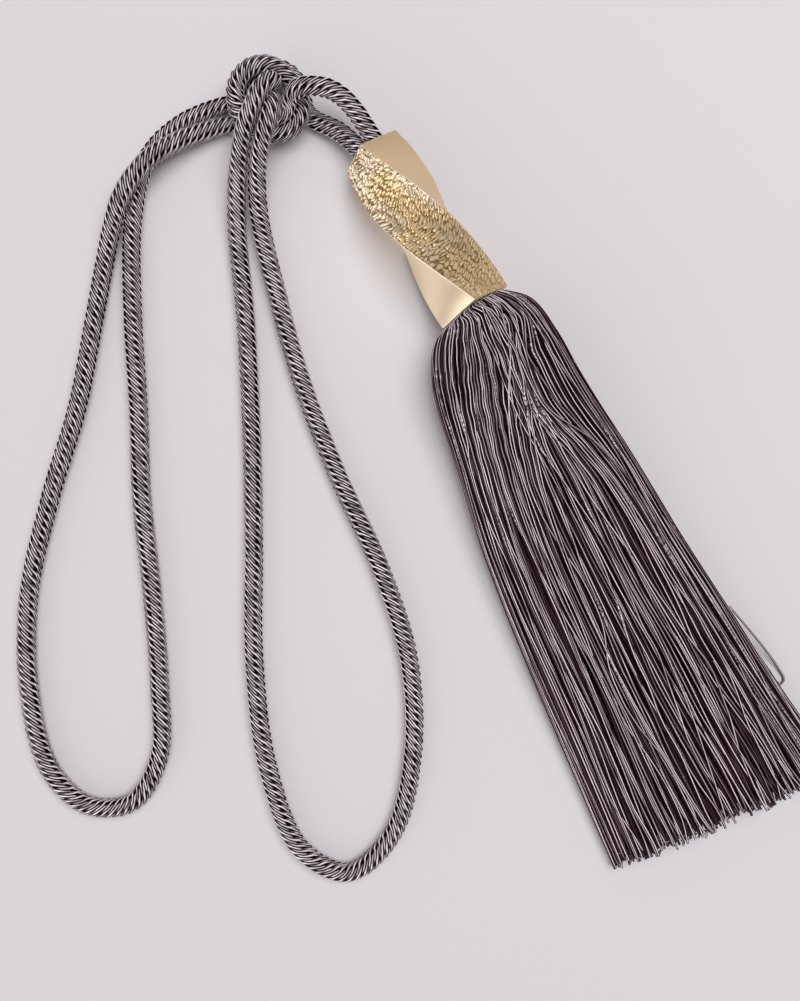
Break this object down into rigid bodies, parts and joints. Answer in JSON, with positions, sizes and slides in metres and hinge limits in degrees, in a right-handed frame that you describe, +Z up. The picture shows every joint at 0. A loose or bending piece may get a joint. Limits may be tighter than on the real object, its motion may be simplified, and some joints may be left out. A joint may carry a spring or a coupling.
{
  "type": "curtain tieback tassel",
  "caption": "Curtain tieback: a doubled rope embrace hitched to a hanging rope, a twisted gold head and a long skirt of dark threads, lying flat.",
  "frame": {"origin": "on the table under the middle of the head and skirt, measured without the free ropes", "axes": "+Z up from the table; +Y from the skirt's cut end towards the hitch, the longer way of the head and skirt; +X to the right seen from above"},
  "size_m": [0.3564, 0.356, 0.0353],
  "materials": {
    "gold": "satin champagne gold plating, two of its four sides hammered",
    "skirt_thread": "lustrous twisted charcoal bullion thread",
    "rope": "lustrous dark braided rope with silvery highlights"
  },
  "bodies": {
    "root": {"head": "gold", "skirt": "skirt_thread", "embrace_rope": "rope", "hanging_rope": "rope"}
  },
  "joints": []
}
